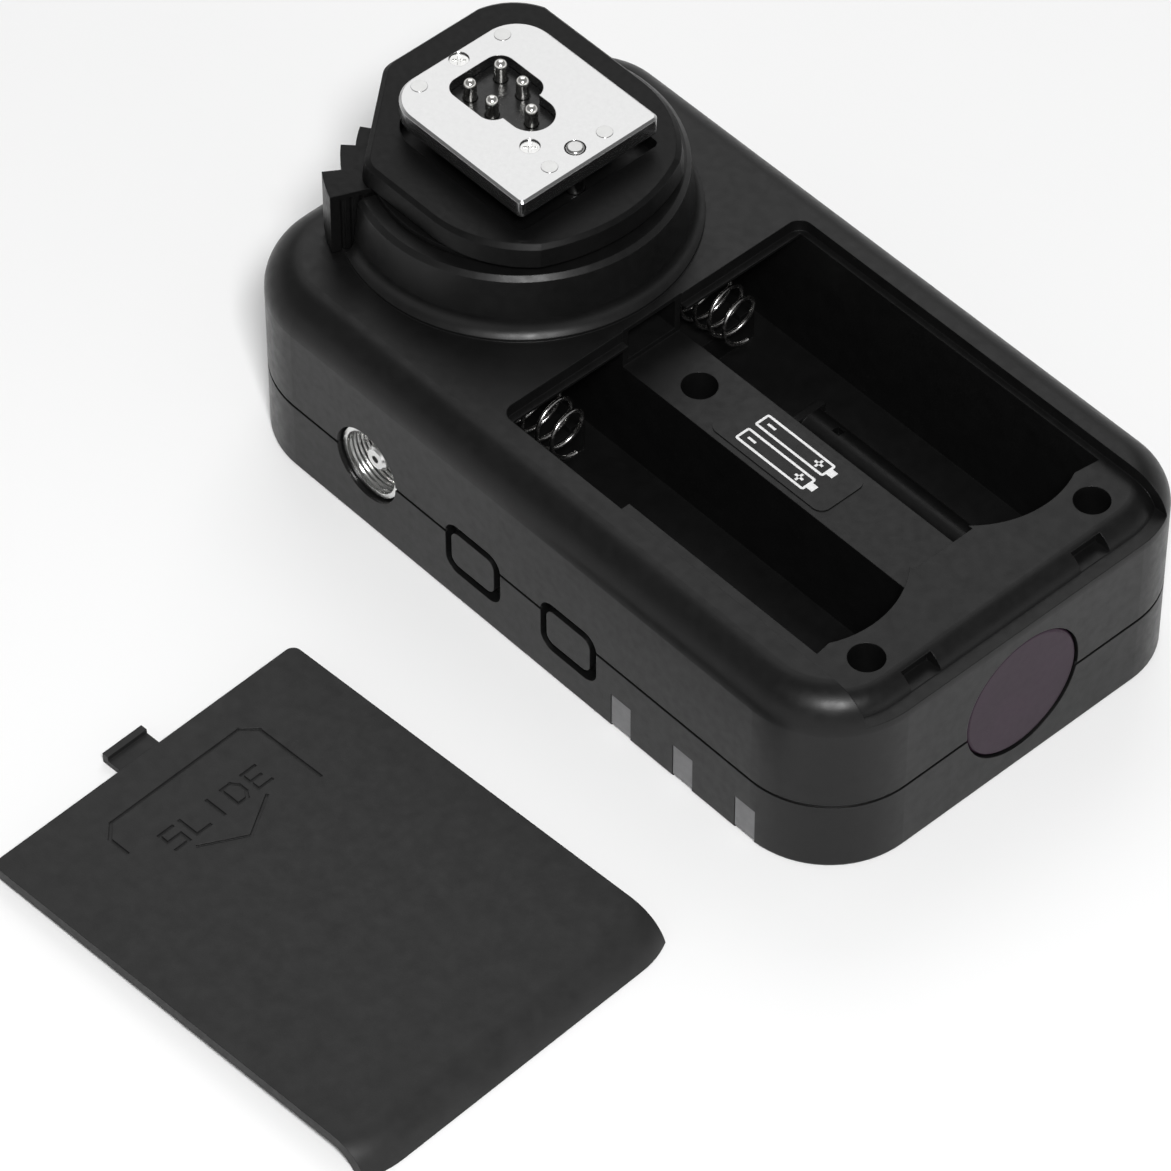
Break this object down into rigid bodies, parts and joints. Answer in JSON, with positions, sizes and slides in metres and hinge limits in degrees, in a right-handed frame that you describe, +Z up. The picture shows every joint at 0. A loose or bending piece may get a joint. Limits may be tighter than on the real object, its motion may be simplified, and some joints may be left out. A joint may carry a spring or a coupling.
{
  "type": "wireless flash trigger",
  "caption": "Rounded black two-cell radio trigger with a metal camera foot on a turret, open battery compartment and its loose cover.",
  "frame": {"origin": "on the flat face that the case rests on, midway along the case and on the centreline of the foot, the cells and the lamp", "axes": "+X towards the focus lamp, +Y away from the side with the buttons, +Z up towards the camera foot"},
  "size_m": [0.0902, 0.1099, 0.039],
  "materials": {
    "case_plastic": "fine moulded texture",
    "cover_plastic": "fine moulded texture",
    "foot_plastic": "satin",
    "button_rubber": "matte",
    "foot_metal": "nickel plated, fine brushed",
    "screw_steel": "blackened",
    "contact_metal": "polished nickel",
    "spring_steel": "nickel plated wire",
    "insulator_plastic": "satin",
    "label_film": "satin film",
    "lamp_red": "dark infrared filter",
    "guide_clear": "frosted translucent",
    "board_green": "solder mask",
    "chip_black": "matte",
    "shield_metal": "tinned",
    "antenna_copper": "enamelled copper",
    "led_clear": "clear epoxy"
  },
  "bodies": {
    "case": {"antenna": "antenna_copper", "battery_side_shell": "case_plastic", "battery_spring_far": "spring_steel", "battery_spring_near": "spring_steel", "case_screws": "screw_steel", "channel_switch": "chip_black", "contact_board": "board_green", "contact_insulator": "insulator_plastic", "contact_spring_1": "spring_steel", "contact_spring_2": "spring_steel", "contact_spring_3": "spring_steel", "contact_spring_4": "spring_steel", "contact_spring_centre": "spring_steel", "controller_chip": "chip_black", "focus_lamp": "led_clear", "focus_lamp_window": "lamp_red", "foot_block": "foot_plastic", "foot_plate": "foot_metal", "foot_plate_screws": "foot_metal", "foot_rivets": "foot_metal", "group_switch": "chip_black", "lamp_holder": "foot_plastic", "light_guides": "guide_clear", "main_board": "board_green", "minus_plate_far": "contact_metal", "minus_plate_near": "contact_metal", "pc_socket_contact": "contact_metal", "pc_socket_insulator": "insulator_plastic", "pc_socket_shell": "contact_metal", "plus_plate_far": "contact_metal", "plus_plate_near": "contact_metal", "power_switch_body": "shield_metal", "radio_module": "shield_metal", "rating_label": "label_film", "shoe_base": "insulator_plastic", "shoe_contacts": "contact_metal", "shoe_rails": "foot_metal", "shoe_side_shell": "case_plastic", "shoe_spring_plate": "foot_metal", "status_leds": "led_clear", "trigger_board": "board_green"},
    "cover": {"battery_cover": "cover_plastic"},
    "lock_lever": {"foot_lock_lever": "foot_plastic"},
    "lock_pin": {"locking_pin": "contact_metal"},
    "group_button": {"group_button": "button_rubber"},
    "channel_button": {"channel_button": "button_rubber"},
    "power_knob": {"power_switch_knob": "button_rubber"},
    "pin_centre": {"contact_pin_centre": "contact_metal"},
    "pin_1": {"contact_pin_1": "contact_metal"},
    "pin_2": {"contact_pin_2": "contact_metal"},
    "pin_3": {"contact_pin_3": "contact_metal"},
    "pin_4": {"contact_pin_4": "contact_metal"}
  },
  "joints": [
    {"name": "cover_lift", "type": "slide", "parent": "case", "child": "cover", "axis": [0, 0, 1], "range_m": [0, 0.04]},
    {"name": "foot_lock", "type": "hinge", "parent": "case", "child": "lock_lever", "pos_m": [-0.0285, 0, 0.031], "axis": [0, 0, -1], "range_deg": [0, 30]},
    {"name": "lock_pin_rise", "type": "slide", "parent": "case", "child": "lock_pin", "axis": [0, 0, 1], "range_m": [0, 0.0012]},
    {"name": "group_button_press", "type": "slide", "parent": "case", "child": "group_button", "axis": [0, 1, 0], "range_m": [0, 0.0005], "stiffness_N_per_m": 800, "springref_m": -0.0005},
    {"name": "channel_button_press", "type": "slide", "parent": "case", "child": "channel_button", "axis": [0, 1, 0], "range_m": [0, 0.0005], "stiffness_N_per_m": 800, "springref_m": -0.0005},
    {"name": "power_slide", "type": "slide", "parent": "case", "child": "power_knob", "axis": [1, 0, 0], "range_m": [0, 0.0038]},
    {"name": "pin_centre_press", "type": "slide", "parent": "case", "child": "pin_centre", "axis": [0, 0, -1], "range_m": [0, 0.0007], "stiffness_N_per_m": 300, "springref_m": -0.0006, "deforming": ["contact_spring_centre"]},
    {"name": "pin_1_press", "type": "slide", "parent": "case", "child": "pin_1", "axis": [0, 0, -1], "range_m": [0, 0.0007], "stiffness_N_per_m": 300, "springref_m": -0.0006, "deforming": ["contact_spring_1"]},
    {"name": "pin_2_press", "type": "slide", "parent": "case", "child": "pin_2", "axis": [0, 0, -1], "range_m": [0, 0.0007], "stiffness_N_per_m": 300, "springref_m": -0.0006, "deforming": ["contact_spring_2"]},
    {"name": "pin_3_press", "type": "slide", "parent": "case", "child": "pin_3", "axis": [0, 0, -1], "range_m": [0, 0.0007], "stiffness_N_per_m": 300, "springref_m": -0.0006, "deforming": ["contact_spring_3"]},
    {"name": "pin_4_press", "type": "slide", "parent": "case", "child": "pin_4", "axis": [0, 0, -1], "range_m": [0, 0.0007], "stiffness_N_per_m": 300, "springref_m": -0.0006, "deforming": ["contact_spring_4"]}
  ],
  "couplings": [
    {"joint": "lock_pin_rise", "follows": "foot_lock", "m_per_rad": 0.00229}
  ]
}
